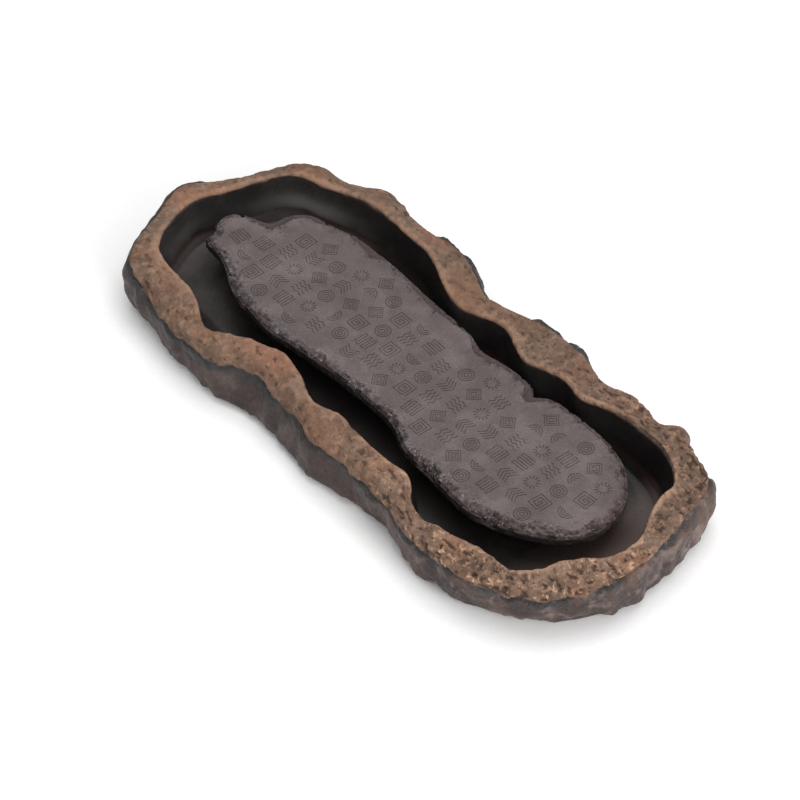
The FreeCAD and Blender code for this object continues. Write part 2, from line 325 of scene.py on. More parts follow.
def clayPitsGroup():
    # small open pits in clusters: a mask, 1 in a pit
    look = pitLook
    inputs = {"Place": "Vector", "Spread": "Float", "Width": "Float", "Amount": "Float"}
    tree, given, out = newGroup("ShaderNodeTree", "clayPits", inputs, {"Mask": "Float"})
    place, spread = given["Place"], given["Spread"]
    warp = noiseAt(tree, place, spread, look["detail"])["Color"]
    bent = addNode(tree, "ShaderNodeMix", {"data_type": "VECTOR"}, i0=look["bend"], i4=place, i5=warp)
    cells = addNode(tree, "ShaderNodeTexVoronoi", Vector=bent.outputs[1], Scale=spread, Randomness=1.0)
    inside = computed(tree, "SUBTRACT", 1.0, ranged(tree, cells.outputs["Distance"], 0.0, given["Width"]))
    where = noiseAt(tree, place, times(tree, spread, look["clusterScale"]), look["detail"])[0]
    limit = computed(tree, "SUBTRACT", 1.0, given["Amount"])
    low = computed(tree, "SUBTRACT", limit, look["softness"])
    high = computed(tree, "ADD", limit, look["softness"])
    feed(tree, out["Mask"], times(tree, inside, ranged(tree, where, low, high)))
    return tree


clayMottle = clayMottleGroup()
clayPits = clayPitsGroup()


def newMaterial(name):
    material = bpy.data.materials.new(name)
    material.use_nodes = True
    tree = material.node_tree
    tree.nodes.clear()
    shader = addNode(tree, "ShaderNodeBsdfPrincipled")
    addNode(tree, "ShaderNodeOutputMaterial", Surface=shader.outputs[0])
    place = addNode(tree, "ShaderNodeTexCoord").outputs["Object"]
    return material, tree, shader, place


def shareProduct(tree, read, shares):
    # product of what the shares read, each times its amount or brought into its range
    product = None
    for name, *limits in shares:
        if name not in read:
            read[name] = shareOf(tree, name)
        value = read[name]
        if len(limits) == 1:
            value = times(tree, value, limits[0])
        elif limits:
            value = ranged(tree, value, *limits)
        product = value if product is None else times(tree, product, value)
    return product


def layered(tree, read, colour, layers):
    # lays each colour over the last by the product of its shares
    for tint, *shares in layers.values():
        colour = blended(tree, shareProduct(tree, read, shares), colour, tone(*tint))
    return colour


def startClay(name, look):
    # the surfaces, and what layers can read besides the piece's own shares: place, noises and pit masks
    material, tree, shader, place = newMaterial(name)
    surfaces = [placed(tree, clayMottle, Place=place, **clay) for clay in look["surfaces"].values()]
    read = dict(zip(("along", "across", "up"), addNode(tree, "ShaderNodeSeparateXYZ", i0=place).outputs))
    for label, noiseLook in look["noises"].items():
        read[label] = noiseAt(tree, place, *noiseLook)[0]
    for label, pits in look["masks"].items():
        read[label] = placed(tree, clayPits, Place=place, **pits)["Mask"]
    shader.inputs["Specular IOR Level"].default_value = look["specular"]
    return material, tree, shader, surfaces, read


# Noises are scale, detail, roughness and distortion. Layers are a colour and its shares: what each one reads
# and its amount, or from, to, and the amounts there. Places along, across and up are in metres.
basinFinish = {
    "surfaces": {
        "rim": mottle((92, 69, 54), (120, 96, 80), (151, 119, 99), 85, 480),
        "body": mottle((50, 41, 39), (69, 58, 55), (92, 78, 73), 60, 520),
        "wall": mottle((34, 31, 31), (46, 42, 42), (60, 55, 54), 40, 500),
        "floor": mottle((33, 29, 29), (46, 41, 40), (60, 53, 51), 40, 500),
    },
    "noises": {"drift": (34, 4), "blotch": (110, 3, 0.6), "glint": (300, 4, 0.65, 0.5)},
    "masks": {"pits": {"Spread": 420, "Width": 0.46, "Amount": 0.48}},
    "rimLayers": {
        "rust": ((131, 94, 74), ("drift", 0.49, 0.62, 0, 0.85)),
        "grey": ((104, 89, 78), ("drift", 0.47, 0.37), ("along", 0, 0.1, 0.5, 0.35)),
        "brown": ((92, 69, 54), ("blotch", 0.55, 0.68, 0, 0.7)),
        "dull": ((88, 70, 58), ("dullShare", 0.75)),
        # wear and painted highlight: lighter along the inner crest and on small raised lumps, more at the
        # near end
        "worn": ((151, 119, 99), ("wearShare",), ("along", 0, 0.12, 0.75, 1)),
        # painted glints: light specks on the rim, more towards the near end and the front
        "paintedGlints": ((196, 156, 126), ("glint", 0.55, 0.67), ("along", 0.02, 0.12, 0.2, 0.9),
                   ("across", 0.03, -0.03, 0.4, 1)),
    },
    "pitBrown": tone(56, 37, 29), "gouges": (("pitShare", 0.1, 0.9), ("along", 0, 0.12, 0.65, 0.9)),
    "specks": (("pits",), ("along", -0.06, 0.1, 0.15, 0.9)), "speckDepth": 1.6,
    "bodyLayers": {
        "blueUnderRim": ((44, 47, 48), ("borderShare", 0.8)),
        "brownPatches": ((98, 76, 66), ("drift", 0.48, 0.62), ("along", 0.02, 0.12, 0.1, 0.7)),
        # painted highlight streaks and painted shade patches on the body towards the near end, placed by
        # noise
        "paintedHighlightStreaks": ((132, 113, 106), ("along", 0.03, 0.12), ("blotch", 0.52, 0.66, 0, 0.6)),
        "paintedShadePatches": ((50, 41, 39), ("along", 0.03, 0.12), ("blotch", 0.46, 0.34, 0, 0.6)),
    },
    "wallLayers": {
        "shade": ((17, 15, 14), ("along", -0.12, -0.05, 0, 0.6)),
        # painted reflection: a lighter band on the wall at the far end, mostly at its back
        "paintedReflection": ((104, 99, 99), ("glowShare",)),
    },
    "floorLayers": {
        # painted reflection: the floor lighter at both ends, mostly at the near end
        "nearEnd": ((122, 104, 99), ("along", 0.125, 0.16, 0, 0.8)),
        "farEnd": ((122, 104, 99), ("along", -0.14, -0.16, 0, 0.2)),
        # painted shadow of the slab: the floor darker between the two ends
        "paintedSlabShadow": ((17, 15, 14), ("along", -0.13, -0.06, 0, 0.65), ("along", 0.14, 0.1)),
    },
    "wellLayers": {"crease": ((40, 27, 23), ("creaseShare", 0.85))},
    "bodyRough": 0.5, "rimRough": (0, 0.13, 0.8, 0.6), "wellRough": 0.36,
    "unevenRough": (0.3, 0.7, -0.07, 0.07), "specular": 0.25, "wellGrain": 0.1, "bump": (0.7, 0.001),
}


def basinClay():
    look = basinFinish
    material, tree, shader, (rim, body, wall, floor), read = startClay("basinClay", look)
    rimShare, wallShare, wellShare = [shareOf(tree, name) for name in ("rimShare", "wallShare", "wellShare")]
    gouges, specks = [shareProduct(tree, read, look[name]) for name in ("gouges", "specks")]
    rimColour = layered(tree, read, rim["Color"], look["rimLayers"])
    pitted = blended(tree, computed(tree, "MAXIMUM", gouges, specks), rimColour, look["pitBrown"])
    outside = blended(tree, rimShare, layered(tree, read, body["Color"], look["bodyLayers"]), pitted)
    sides = layered(tree, read, wall["Color"], look["wallLayers"])
    bottom = layered(tree, read, floor["Color"], look["floorLayers"])
    inside = layered(tree, read, blended(tree, wallShare, bottom, sides), look["wellLayers"])
    colour = blended(tree, wellShare, outside, inside)

    # satin body, dry rim, glossier well
    dry = ranged(tree, rimShare, 0, 1, look["bodyRough"], ranged(tree, read["along"], *look["rimRough"]))
    satin = nodeOut(tree, "ShaderNodeMix", {"data_type": "FLOAT"}, i0=wellShare, i2=dry, i3=look["wellRough"])
    uneven = computed(tree, "ADD", satin, ranged(tree, read["drift"], *look["unevenRough"]))
    grain = computed(tree, "SUBTRACT", rim["Height"], times(tree, specks, look["speckDepth"]))
    calm = times(tree, grain, ranged(tree, wellShare, 0, 1, 1, look["wellGrain"]))
    coated(tree, shader, colour, uneven, calm, *look["bump"])
    return material


slabFinish = {
    "surfaces": {
        "top": mottle((86, 77, 77), (98, 88, 88), (109, 99, 98), 60, 1100),
        "edge": mottle((60, 53, 53), (82, 74, 74), (117, 109, 108), 260, 800),
    },
    "noises": {},
    "masks": {"pits": {"Spread": 430, "Width": 0.5, "Amount": 0.55},
              "specks": {"Spread": 620, "Width": 0.38, "Amount": 0.5}},
    "edgeLayers": {"rust": ((80, 57, 50), ("along", 0.05, 0.15, 0.05, 0.3))},
    "pitAndShadeDark": tone(28, 23, 22), "pits": (("pits", 0.5),), "chips": (("chipShare", 0.5),),
    # painted shade: the front sides of the slab darker below the top
    "shade": (("up", 0.0258, 0.0279, 0.95, 0), ("frontShare",)),
    "loosePits": 0.25, "looseRange": (0.25, 0.6),
    "topLayers": {
        "ledge": ((70, 60, 58), ("ledgeShare", 0.8)),
        "dust": ((28, 23, 22), ("pits",), ("grainShare", 0.75)),
        "flecks": ((160, 151, 147), ("specks",), ("grainShare", 0.85)),
        "marks": ((62, 54, 54), ("markShare", 0.3)),
    },
    "roughRange": (0.4, 1.1, 0.5, 0.7), "specular": 0.18, "topGrain": 0.5, "bump": (0.7, 0.0008),
}


def slabClay():
    look = slabFinish
    material, tree, shader, (top, edge), read = startClay("slabClay", look)
    edgeShare, grainShare = [shareOf(tree, name) for name in ("edgeShare", "grainShare")]
    pits, shade, chips = [shareProduct(tree, read, look[name]) for name in ("pits", "shade", "chips")]
    # the darkest of pits, painted shade on the front sides, and chips
    dark = computed(tree, "MAXIMUM", computed(tree, "MAXIMUM", pits, shade), chips)
    brokenAndShaded = blended(tree, dark, layered(tree, read, edge["Color"], look["edgeLayers"]), look["pitAndShadeDark"])
    loose = computed(tree, "ADD", edgeShare, times(tree, read["pits"], look["loosePits"]))
    mixed = blended(tree, ranged(tree, loose, *look["looseRange"]), top["Color"], brokenAndShaded)
    colour = layered(tree, read, mixed, look["topLayers"])
    rough = ranged(tree, top["Height"], *look["roughRange"])
    hollow = times(tree, read["pits"], computed(tree, "MAXIMUM", edgeShare, grainShare))
    grain = computed(tree, "SUBTRACT", times(tree, top["Height"], look["topGrain"]), hollow)
    coated(tree, shader, colour, rough, grain, *look["bump"])
    return material


padFinish = {
    "rubber": mottle((26, 26, 27), (36, 36, 37), (48, 48, 49), 120, 2600),
    "roughness": 0.8, "bump": (0.3, 0.0002),
}


def padRubber():
    material, tree, shader, place = newMaterial("padRubber")
    rubber = placed(tree, clayMottle, Place=place, **padFinish["rubber"])
    coated(tree, shader, rubber["Color"], padFinish["roughness"], rubber["Height"], *padFinish["bump"])
    return material


materials = {"basin": basinClay(), "slab": slabClay(), "pad": padRubber()}
print("materials:", sorted(material.name for material in materials.values()))


# Geometry Nodes

def drums(tree, places, radius, depth, lift):
    # one upright drum at each of the places
    points = addNode(tree, "GeometryNodeObjectInfo", Object=places).outputs["Geometry"]
    drum = nodeOut(tree, "GeometryNodeMeshCylinder", {"fill_type": "NGON"}, Vertices=drumSides, Radius=radius,
                   Depth=depth)
    rise = nodeOut(tree, "ShaderNodeCombineXYZ", Z=lift)
    upright = nodeOut(tree, "GeometryNodeTransform", Geometry=drum, Translation=rise)
    copies = nodeOut(tree, "GeometryNodeInstanceOnPoints", Points=points, Instance=upright)
    return nodeOut(tree, "GeometryNodeRealizeInstances", Geometry=copies)


def combined(tree, operation, *links):
    made = addNode(tree, "GeometryNodeMeshBoolean", {"operation": operation, "solver": "MANIFOLD"})
    for source, socket in links:
        tree.links.new(source, made.inputs[socket])
    return made.outputs["Mesh"]


def carved(tree, base, tool):
    return combined(tree, "DIFFERENCE", (base, "Mesh 1"), (tool, "Mesh 2"))


def finished(tree, geometry, material):
    real = nodeOut(tree, "GeometryNodeRealizeInstances", Geometry=geometry)
    return nodeOut(tree, "GeometryNodeSetMaterial", Geometry=real, Material=material)


def withSeats(tree, given, base, places):
    # round seats for the soft pads, cut into the underside; half of each drum is below it
    depth = times(tree, given["Seat Depth"], 2.0)
    return carved(tree, base, drums(tree, places, given["Seat Radius"], depth, 0.0))


def padSeatTree():
    inputs = {"Geometry": "Geometry", "Seat Places": "Object", "Seat Radius": "Float", "Seat Depth": "Float",
              "Clay": "Material"}
    tree, given, out = newGroup("GeometryNodeTree", "padSeats", inputs, {"Geometry": "Geometry"})
    seated = withSeats(tree, given, given["Geometry"], given["Seat Places"])
    feed(tree, out["Geometry"], finished(tree, seated, given["Clay"]))
    return tree


def slabTree():
    # legs under the slab, pad seats in the legs, and the carved marks on top
    inputs = {
        "Geometry": "Geometry", "Leg Places": "Object", "Leg Radius": "Float", "Leg Height": "Float",
        "Seat Radius": "Float", "Seat Depth": "Float", "Mark Places": "Object", "Motifs": "Collection",
        "Mark Size": "Float", "Stroke Width": "Float", "Mark Depth": "Float", "Clay": "Material",
    }
    tree, given, out = newGroup("GeometryNodeTree", "slabLegsAndMarks", inputs, {"Geometry": "Geometry"})
    half = times(tree, given["Leg Height"], 0.5)
    legs = drums(tree, given["Leg Places"], given["Leg Radius"], given["Leg Height"], half)
    legged = combined(tree, "UNION", (given["Geometry"], "Mesh 2"), (legs, "Mesh 2"))
    seated = withSeats(tree, given, legged, given["Leg Places"])
    spots = addNode(tree, "GeometryNodeObjectInfo", Object=given["Mark Places"]).outputs["Geometry"]
    asTheyAre = {"Separate Children": True, "Reset Children": True}
    motifs = nodeOut(tree, "GeometryNodeCollectionInfo", Collection=given["Motifs"], **asTheyAre)
    pick = nodeOut(tree, "GeometryNodeInputNamedAttribute", {"data_type": "INT"}, Name="motif")
    turn = nodeOut(tree, "GeometryNodeInputNamedAttribute", {"data_type": "FLOAT"}, Name="turn")
    spin = nodeOut(tree, "ShaderNodeCombineXYZ", Z=turn)
    toTurn = nodeOut(tree, "FunctionNodeEulerToRotation", Euler=spin)
    picked = {"Pick Instance": True, "Instance Index": pick}
    copies = nodeOut(tree, "GeometryNodeInstanceOnPoints", Points=spots, Instance=motifs, Rotation=toTurn,
                     Scale=given["Mark Size"], **picked)
    lines = nodeOut(tree, "GeometryNodeRealizeInstances", Geometry=copies)
    strokes = nodeOut(tree, "GeometryNodeMeshToCurve", Mesh=lines)
    upright = nodeOut(tree, "GeometryNodeSetCurveNormal", {"mode": "Z_UP"}, Curve=strokes)
    groove = nodeOut(tree, "GeometryNodeCurvePrimitiveQuadrilateral", Width=given["Stroke Width"],
                     Height=times(tree, given["Mark Depth"], 2.0))
    section = {"Profile Curve": groove, "Fill Caps": True}
    bars = nodeOut(tree, "GeometryNodeCurveToMesh", Curve=upright, **section)
    feed(tree, out["Geometry"], finished(tree, carved(tree, seated, bars), given["Clay"]))
    return tree


def applyTree(piece, tree, values):
    # runs the tree once and keeps the result as the piece's own plain mesh
    modifier = piece.modifiers.new(tree.name, "NODES")
    modifier.node_group = tree
    for socket in tree.interface.items_tree:
        if socket.name in values:
            modifier[socket.identifier] = values[socket.name]
    bpy.context.view_layer.update()
    evaluated = piece.evaluated_get(bpy.context.evaluated_depsgraph_get())
    mesh = bpy.data.meshes.new_from_object(evaluated)
    piece.modifiers.remove(modifier)
    old = piece.data
    piece.data = mesh
    mesh.name = piece.name
    bpy.data.meshes.remove(old)
    return mesh


def pointsObject(name, places):
    mesh = bpy.data.meshes.new(name)
    mesh.from_pydata(places, [], [])
    return linked(name, mesh)


def padPlaces(prefix, height):
    boxes = [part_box(name) for name in sorted(frame["nodes"]) if name.startswith(prefix)]
    return [((low.x + high.x) / 2, (low.y + high.y) / 2, height * mm) for low, high in boxes]


def bulge(place, middle, width):
    return np.exp(-((place - middle) / width) ** 2)


def grown(start, gain, *shares):
    # the start, and the gain times every share
    for share in shares:
        gain = gain * share
    return start + gain


# Basin

basinShape = {
    "around": 960, "steps": (4, 9, 14, 9, 11, 9, 6, 10, 7, 6), "softenPasses": 3, "creaseAngle": 60,
    "baseLevel": 1.5, "footBevel": 3, "bellyHeight": 13, "bellySwell": 0.6, "bellyPlace": 0.6, "footDraw": 5,
    "shoulderHeight": 25, "shoulderDip": 0.5, "bandEdgePlace": 0.18, "bandEdgeFall": 3.2, "bandPlace": 0.55,
    "bandFall": 1, "bandDip": 0.8, "top": 35, "rimDip": 2.8, "crestHalf": 1.6, "lipFall": 1.2,
    "wellDraft": 2.5, "wallPlace": 0.25, "floorLevel": 7, "wellCove": 5, "seatClearance": 0.2, "padRecess": 1,
    "floorShares": (0.93, 0.8, 0.62, 0.42, 0.2, 0.04), "floorLumps": (40, 2), "floorRise": 0.3,
    "flatShare": 0.1, "knobPlace": (129, 76, 27), "knobRise": (0.8, 3.2, 0.4), "knobWidth": 7,
    "knobReach": 10,
    # size, octaves, shift and stretch
    "lumps": {
        "big": (24, 2), "medium": (9, 3, 11.3), "small": (3.6, 3, 5.7),
        "dents": (7, 3, 2.2, (1, 1, 1.5)), "gouges": (3.4, 3, 8.4, (0.7, 1.3, 1.2)),
        "presses": (27, 3, 3.1, (1, 1, 0.45)), "folds": (12, 2, 7.9, (1, 1, 0.3)),
    },
    # row where the bare rim starts, and the rows that each zone or lump moves it by
    "border": {"row": 3.12, "front": 0.2, "corner": 0.4, "end": 0.6, "tip": 1.1, "back": 0.65, "knob": 0.9,
               "medium": 0.32, "small": 0.1, "lipMedium": 0.1},
    # heights in millimetres, pairs as start and gain
    "relief": {
        "rimBig": 1.3, "rimMedium": (0.6, 0.6), "rimSmall": (0.2, 0.35), "dentDepth": (0.4, 0.5),
        "gougeDepth": (0.3, 0.4), "ridge": 1.2, "ridgeAlong": (0.08, 0.92), "ridgeBack": (0.35, 0.65),
        "sunk": 1.2, "sunkAlong": (0.1, 0.9), "roll": 0.6, "groove": 1.1, "presses": 3.8, "pressMean": 0.2,
        "folds": 1.8, "bodyMedium": 0.7, "bodySmall": 0.4, "tipCalm": 0.5, "well": 0.5, "knobCalm": 0.85,
    },
}


def basinRows():
    shape = basinShape
    low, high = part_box("tray_basin")
    drawn = rimStations[:, 2:4]
    drawnKnots = closedKnots(rimStations[:, 0:2])
    line = closedSpline(drawnKnots, drawn, np.linspace(0, drawnKnots[-1] - justBefore, fineSteps))
    middle = (line.max(axis=0) + line.min(axis=0)) / 2
    stretch = np.array([high.x - low.x, high.y - low.y]) / mm / (line.max(axis=0) - line.min(axis=0))
    crest = (rimStations[:, 0:2] - middle) * stretch
    shoulder = (drawn - middle) * stretch
    dip = rimStations[:, 4] * shape["rimDip"]
    inward = unitRows(crest - shoulder)
    foot = shoulder - inward * (rimStations[:, 5] * shape["footDraw"])[:, None]
    belly = foot + (shoulder - foot) * shape["bellyPlace"] - inward * shape["bellySwell"]
    bandEdge = shoulder + (crest - shoulder) * shape["bandEdgePlace"]
    band = shoulder + (crest - shoulder) * shape["bandPlace"]
    lip = crest + inward * shape["crestHalf"]
    wall = drawnIn(lip, shape["wellDraft"] * shape["wallPlace"])
    well = drawnIn(lip, shape["wellDraft"])
    stations = [
        withHeight(drawnIn(foot, shape["footBevel"]), shape["baseLevel"]),
        withHeight(foot, shape["baseLevel"] + shape["footBevel"]),
        withHeight(belly, shape["bellyHeight"]),
        withHeight(shoulder, shape["shoulderHeight"] - dip * shape["shoulderDip"]),
        withHeight(bandEdge, shape["top"] - shape["bandEdgeFall"] - dip * shape["bandDip"]),
        withHeight(band, shape["top"] - shape["bandFall"] - dip * shape["bandDip"]),
        withHeight(crest - inward * shape["crestHalf"], shape["top"] - dip),
        withHeight(lip, shape["top"] - shape["lipFall"] - dip),
        withHeight(wall, (shape["top"] + shape["floorLevel"]) / 2),
        withHeight(well, shape["floorLevel"] + shape["wellCove"]),
        withHeight(drawnIn(well, shape["wellCove"]), shape["floorLevel"]),
    ]
    knots = closedKnots(crest)
    at = evenParameters(knots, (crest + shoulder) / 2, shape["around"])
    return [closedSpline(knots, row, at) for row in stations]


def makeBasin():
    shape = basinShape
    level = shape["border"]
    relief = shape["relief"]
    grid, place = steppedRows(np.array(basinRows()), shape["steps"])
    hold = np.zeros(len(place))
    hold[[0, -1]] = 1
    grid = softened(grid, shape["softenPasses"], hold)
    normals = gridNormals(grid)
    row = np.broadcast_to(place[:, None], grid.shape[:2])
    x, y = grid[..., 0], grid[..., 1]
    field = {name: lumps(grid, *lump) for name, lump in shape["lumps"].items()}
    big, medium, small = field["big"], field["medium"], field["small"]
    knob = np.linalg.norm(grid - shape["knobPlace"], axis=2)
    nearKnob = bulge(knob, 0, shape["knobReach"])
    nearEnd = smoothStep(-10, 140, x)
    farSide = smoothStep(-10, 40, y)

    # the bare rim starts higher up at both ends and the back, lower at one corner and at the knob
    corner = smoothStep(110, 135, x) * fadeOut(140, 152, x) * smoothStep(-20, 25, y)
    end = smoothStep(132, 168, x) * smoothStep(-45, 0, y)
    tip = np.maximum(fadeOut(-178, -150, x), fadeOut(-165, -128, x) * fadeOut(-20, 20, y))
    front = smoothStep(60, 140, x) * fadeOut(-45, -15, y)
    back = farSide * fadeOut(95, 125, x)
    border = level["row"] + level["front"] * front - level["corner"] * corner + level["end"] * end
    border = border + np.maximum(level["tip"] * tip, level["back"] * back) - level["knob"] * nearKnob
    border = border + level["medium"] * medium + level["small"] * small
    over = row - border
    leaving = fadeOut(6.98, 7.14, row + level["lipMedium"] * medium)
    body = smoothStep(0.1, 0.9, row) * fadeOut(-0.25, 0.05, over)
    rim = smoothStep(-0.05, 0.2, over) * leaving
    well = smoothStep(7.2, 8.2, row) * fadeOut(9.2, 9.9, row)

    # dents and gouges, thicker towards the end at +X
    calm = (1 - 0.9 * bulge(row, 6.6, 0.7)) * (1 - 0.7 * nearKnob)
    dents = smoothStep(0.1, 0.45, field["dents"] + 0.2 * nearEnd - 0.15) * rim * calm
    gouges = smoothStep(0.28, 0.46, field["gouges"] + 0.15 * nearEnd - 0.13) * rim * calm

    # a thin ridge along the inner crest, the band outside it sunk, a roll and a groove at the border
    ridgeHeight = grown(*relief["ridgeAlong"], nearEnd, grown(*relief["ridgeBack"], farSide))
    ridge = bulge(row, 6.45, 0.32) * ridgeHeight * grown(1, 0.6, big)
    sunk = bulge(row, 5.2, 0.6) * grown(*relief["sunkAlong"], nearEnd) * grown(1, 0.8, medium)
    raised = rim * (relief["rimBig"] * big + grown(*relief["rimMedium"], nearEnd, calm) * medium
                    + grown(*relief["rimSmall"], nearEnd, calm) * small)
    raised -= grown(*relief["dentDepth"], nearEnd) * dents + grown(*relief["gougeDepth"], nearEnd) * gouges
    raised += (relief["ridge"] * ridge - relief["sunk"] * sunk
               + relief["roll"] * bulge(over, 0.3, 0.2) - relief["groove"] * bulge(over, -0.06, 0.1))

    # upright lumps of the body, with creases between them, down to a scalloped foot
    presses = np.abs(field["presses"]) - relief["pressMean"]
    lumpy = (relief["presses"] * presses + relief["folds"] * field["folds"]
             + relief["bodyMedium"] * medium + relief["bodySmall"] * small)
    raised += body * (1 - relief["tipCalm"] * tip) * lumpy
    raised += well * relief["well"] * big
    grid = grid + normals * (raised * (1 - relief["knobCalm"] * nearKnob))[..., None]

    # a small smooth knob stands on the outer edge at the back
    grid = grid + np.array(shape["knobRise"]) * np.exp(-(knob / shape["knobWidth"]) ** 4)[..., None]

    rings = []
    for share in shape["floorShares"]:
        ring = grid[-1] * (share, share, 1)
        ring[:, 2] += shape["floorRise"] * lumps(ring, *shape["floorLumps"]) * (share > shape["flatShare"])
        rings.append(ring)
    mesh = gridMesh("basin_clay", np.concatenate([grid, np.array(rings)]) * mm)
    # the inner crest and small raised lumps lighter: partly wear, partly painted highlight
    wearAndHighlight = bulge(row, 6.5, 0.45) * grown(0.6, 1.1, big) + 0.8 * small
    dullBack = farSide * grown(0.45, 0.55, nearEnd, bulge(row, 5.0, 0.9))
    dullFront = 0.55 * (1 - farSide) * fadeOut(4.0, 5.0, row + 0.5 * medium)
    # where the painted reflection lies on the well's wall
    paintedReflection = np.maximum(bulge(x, -134, 19) * farSide, 0.4 * bulge(x, -165, 9))
    shares = {
        "rimShare": smoothStep(-0.04, 0.08, over) * leaving,
        "wellShare": 1 - leaving,
        "pitShare": np.maximum(0.3 * dents, gouges),
        "wearShare": np.clip(rim * wearAndHighlight, 0, 1),
        "dullShare": rim * np.maximum(dullBack, np.maximum(nearKnob, dullFront)),
        "glowShare": bulge(row, 8.6, 0.6) * paintedReflection,
        "borderShare": bulge(over, -0.2, 0.28),
        "wallShare": fadeOut(8.95, 9.2, row),
        "creaseShare": bulge(row, grown(9.2, 0.15, medium), 0.2),
    }
    for name, share in shares.items():
        ending = np.full((len(rings), shape["around"]), float(name == "wellShare"))
        setShare(mesh, name, np.concatenate([share, ending]))
    piece = linked("basin_clay", mesh)
    low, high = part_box("base_pad_1")
    seats = pointsObject("baseSeatPlaces", padPlaces("base_pad_", shape["baseLevel"]))
    applyTree(piece, padSeatTree(), {
        "Seat Places": seats, "Seat Radius": (high.x - low.x) / 2 + shape["seatClearance"] * mm,
        "Seat Depth": shape["padRecess"] * mm, "Clay": materials["basin"]})
    bpy.data.objects.remove(seats)
    return piece


# Slab

slabShape = {
    "around": 1200, "steps": (6, 5, 14), "softenPasses": 2, "softReach": 2.5, "sideRing": 4,
    "creaseAngle": 38, "underLevel": 19.5, "undercut": 3, "ledgeDrop": 3.2, "ledgeWidth": 6, "top": 28,
    "topInsets": (0.5, 1, 1.6, 2.3, 3.1, 4, 5, 6.1, 7.3, 8.6, 10, 11),
    "legRadius": 9, "legFoot": 8, "legRoot": 2, "seatClearance": 0.2, "padRecess": 1,
    # steps of the ledge: share of the drop, from and to
    "ledgeSteps": ((0.6, 0, 0.2), (0.4, 0.8, 1)),
    # larger bites out of the front edge: x, y, reach, depth
    "bites": ((60, -40.5, 3.5, 1.8), (68, -39.5, 4, 1.8), (111, -37.5, 5, 2.2), (-92, -35, 3.5, 1.4)),
    "lumps": {"big": (16, 2, 4.4), "medium": (6, 3, 9.1), "small": (2.4, 2, 1.7), "chips": (5, 3, 6.6)},
    "relief": {
        "edgeMedium": 2.5, "chipLedge": 0.7, "roughLedge": 0.6, "big": 0.4, "medium": 0.3, "small": 0.3,
        "chips": 1.0, "wornReach": 5, "worn": (0.35, 0.9), "edgeRise": 0.2, "biteMedium": (1, 0.8),
        "biteSmall": (0.85, 0.8), "biteBack": 0.6,
    },
}
markLayout = {
    "pitchX": 13.2, "pitchY": 12.2, "start": 4, "rows": 5, "edge": 9.5, "size": 8.6, "stroke": 0.72,
    "depth": 0.3, "seed": 5, "tilt": 0.05, "rowStep": 3, "columnStep": 5, "choice": 3,
}


def slabRows():
    shape = slabShape
    low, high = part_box("tea_slab")
    points = slabStations[:, 0:2]
    ledgeShare = slabStations[:, 2]
    knots = closedKnots(points)
    at = evenParameters(knots, points, shape["around"])
    ways = unitRows(np.roll(points, -1, axis=0) - np.roll(points, 1, axis=0))
    outward = np.column_stack([-ways[:, 1], ways[:, 0]])
    ledge = points + outward * (ledgeShare * shape["ledgeWidth"])[:, None]
    line = closedSpline(knots, ledge, at)
    stretch = np.array([high.x - low.x, high.y - low.y]) / mm / (line.max(axis=0) - line.min(axis=0))
    middle = np.array([high.x + low.x, high.y + low.y]) / 2 / mm
    shift = middle - stretch * (line.max(axis=0) + line.min(axis=0)) / 2
    topLine = closedSpline(knots, points, at) * stretch + shift
    ledgeLine = line * stretch + shift
    rows = [
        withHeight(drawnIn(ledgeLine, shape["undercut"]), shape["underLevel"]),
        withHeight(ledgeLine, shape["underLevel"] + shape["undercut"]),
        withHeight(ledgeLine, shape["top"] - shape["ledgeDrop"]),
        withHeight(topLine, shape["top"]),
    ]
    return rows, topLine


def ringLine(radius, count, sweep=2 * math.pi):
    turns = [sweep * k / count for k in range(count)]
    return [(radius * math.cos(turn), radius * math.sin(turn)) for turn in turns]


def motifLines():
    # plain geometric figures about 1 wide
    fret = [(-0.5, -0.5), (0.5, -0.5), (0.5, 0.5), (-0.5, 0.5), (-0.5, -0.3), (0.3, -0.3),
            (0.3, 0.3), (-0.3, 0.3), (-0.3, -0.1), (0.1, -0.1), (0.1, 0.1), (-0.1, 0.1)]
    meander = [(-0.5, -0.5), (-0.5, 0.5), (-0.3, 0.5), (-0.3, -0.5), (-0.1, -0.5), (-0.1, 0.5), (0.1, 0.5),
               (0.1, -0.5), (0.3, -0.5), (0.3, 0.5), (0.5, 0.5), (0.5, -0.5)]
    chevrons = [[(-0.5, level), (0, level + 0.3), (0.5, level)] for level in (-0.55, -0.32, -0.09, 0.14)]
    waves = [[(-0.5 + k / 12, level + 0.08 * math.sin(k / 12 * 4 * math.pi)) for k in range(13)]
             for level in (-0.42, -0.14, 0.14, 0.42)]
    spokes = [(math.cos(math.pi / 6 * k), math.sin(math.pi / 6 * k)) for k in range(12)]
    rays = [[(0.28 * x, 0.28 * y), (0.52 * x, 0.52 * y)] for x, y in spokes]
    arcs = [ringLine(radius, 9, math.pi * 9 / 8) for radius in (0.52, 0.34, 0.16)]
    return {
        "fret": [fret], "meander": [meander], "chevrons": chevrons,
        "waves": waves, "rays": rays, "arcs": arcs,
        "lozenges": [ringLine(radius, 4) for radius in (0.6, 0.4, 0.2)],
        "rings": [ringLine(radius, 14) for radius in (0.5, 0.32, 0.14)],
    }


